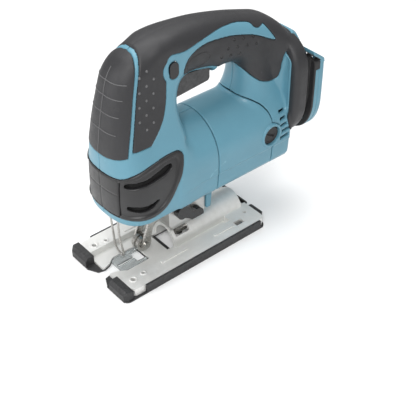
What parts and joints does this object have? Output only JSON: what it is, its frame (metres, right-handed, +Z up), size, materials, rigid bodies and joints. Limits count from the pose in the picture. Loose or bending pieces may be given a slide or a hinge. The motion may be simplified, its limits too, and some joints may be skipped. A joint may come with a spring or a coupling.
{
  "type": "cordless jigsaw",
  "caption": "Body-only cordless top-handle jigsaw with a tilting shoe, reciprocating blade clamp, orbital lever, trigger handle and open battery slide mount.",
  "frame": {"origin": "centre of the bounding box in plan, on the underside of the shoe", "axes": "+Z up, -X towards the blade end, +X towards the battery mount, -Y the operator's left side"},
  "size_m": [0.205, 0.078, 0.1984],
  "materials": {
    "blue_plastic": "satin",
    "grip_rubber": "matte",
    "black_plastic": "satin",
    "gear_case": "cast",
    "steel": "ground",
    "dark_steel": "blackened",
    "base_metal": "satin die cast",
    "copper": "enamelled wire",
    "brass": "plain",
    "magnet": "sintered",
    "carbon": "sintered carbon",
    "clear_plastic": "clear",
    "circuit_board": "lacquered"
  },
  "bodies": {
    "body": {"housing_left": "blue_plastic", "housing_right": "blue_plastic", "grip_left": "grip_rubber", "grip_right": "grip_rubber", "handle_panel_left": "grip_rubber", "handle_panel_right": "grip_rubber", "vent_cover_left": "black_plastic", "vent_cover_right": "black_plastic", "front_pad": "grip_rubber", "motor_housing": "blue_plastic", "housing_screws": "dark_steel", "gear_housing": "gear_case", "gear_bearing": "steel", "gear_housing_cover": "gear_case", "gear_housing_screws": "dark_steel", "motor_bearing_front": "steel", "motor_bearing_rear": "steel", "stator_yoke": "steel", "magnets": "magnet", "brush_holders": "brass", "carbon_brushes": "carbon", "brush_springs": "steel", "brush_caps": "black_plastic", "slider_bearing_lower": "steel", "slider_bearing_upper": "steel", "fork_pin": "steel", "fork_bracket": "steel", "wire_guard": "steel", "led_lens": "clear_plastic", "base_bolt": "dark_steel", "trigger_pin": "steel", "switch_body": "black_plastic", "controller_board": "circuit_board", "terminal_block": "black_plastic", "battery_contacts": "brass"},
    "armature": {"armature_shaft": "steel", "fan": "black_plastic", "armature_core": "steel", "armature_windings": "copper", "commutator": "copper"},
    "crank": {"crank_gear": "steel", "crank_pin": "steel"},
    "slider": {"slider_rod": "steel", "blade_clamp": "dark_steel", "clamp_spring": "steel"},
    "sleeve": {"clamp_sleeve": "dark_steel"},
    "counterweight": {"counterweight": "steel"},
    "opener": {"tool_opener": "black_plastic"},
    "trigger": {"trigger": "black_plastic"},
    "lock_off": {"lock_off_button": "black_plastic"},
    "orbital": {"orbital_lever": "black_plastic", "orbital_cam_shaft": "steel"},
    "fork": {"roller_fork": "steel", "roller_pin": "steel"},
    "roller": {"roller": "steel"},
    "base_slider": {"base_clamp_plate": "steel"},
    "base": {"base_plate": "base_metal", "cover_plate": "black_plastic", "anti_splinter_insert": "clear_plastic"},
    "wrench": {"hex_wrench": "dark_steel"}
  },
  "joints": [
    {"name": "armature_spin", "type": "hinge", "parent": "body", "child": "armature", "pos_m": [0, 0, 0.086], "axis": [1, 0, 0], "continuous": true},
    {"name": "crank_spin", "type": "hinge", "parent": "body", "child": "crank", "pos_m": [-0.036, 0, 0.111], "axis": [1, 0, 0], "continuous": true},
    {"name": "slider_stroke", "type": "slide", "parent": "body", "child": "slider", "axis": [0, 0, 1], "range_m": [-0.013, 0.013]},
    {"name": "counterweight_slide", "type": "slide", "parent": "body", "child": "counterweight", "axis": [0, 0, 1], "range_m": [-0.013, 0.013]},
    {"name": "sleeve_turn", "type": "hinge", "parent": "slider", "child": "sleeve", "pos_m": [-0.066, 0, 0.05], "axis": [0, 0, -1], "range_deg": [0, 48]},
    {"name": "opener_swing", "type": "hinge", "parent": "body", "child": "opener", "pos_m": [-0.0866, 0.017, 0.088], "axis": [0, 0, -1], "range_deg": [0, 60], "stiffness_Nm_per_rad": 0.01, "springref_deg": -11.46},
    {"name": "trigger_squeeze", "type": "hinge", "parent": "body", "child": "trigger", "pos_m": [-0.022, 0, 0.1615], "axis": [0, -1, 0], "range_deg": [0, 7], "stiffness_Nm_per_rad": 0.5, "springref_deg": -2.86},
    {"name": "lock_off_push", "type": "slide", "parent": "body", "child": "lock_off", "axis": [0, 1, 0], "range_m": [0, 0.004]},
    {"name": "orbital_set", "type": "hinge", "parent": "body", "child": "orbital", "pos_m": [-0.024, 0, 0.0405], "axis": [0, 1, 0], "range_deg": [0, 90]},
    {"name": "fork_swing", "type": "hinge", "parent": "body", "child": "fork", "pos_m": [-0.0475, 0, 0.0425], "axis": [0, 1, 0], "range_deg": [0, 3]},
    {"name": "roller_spin", "type": "hinge", "parent": "fork", "child": "roller", "pos_m": [-0.0575, 0, 0.0146], "axis": [0, 1, 0], "continuous": true},
    {"name": "base_slide", "type": "slide", "parent": "body", "child": "base_slider", "axis": [1, 0, 0], "range_m": [0, 0.008]},
    {"name": "base_bevel", "type": "hinge", "parent": "base_slider", "child": "base", "pos_m": [-0.02, 0, 0.006], "axis": [1, 0, 0], "range_deg": [-45, 45]},
    {"name": "wrench_pull", "type": "slide", "parent": "base", "child": "wrench", "axis": [1, 0, 0], "range_m": [0, 0.03]}
  ],
  "couplings": [
    {"joint": "crank_spin", "follows": "armature_spin", "ratio": -0.25},
    {"joint": "counterweight_slide", "follows": "slider_stroke", "ratio": -1},
    {"joint": "sleeve_turn", "follows": "opener_swing", "ratio": 0.8}
  ]
}
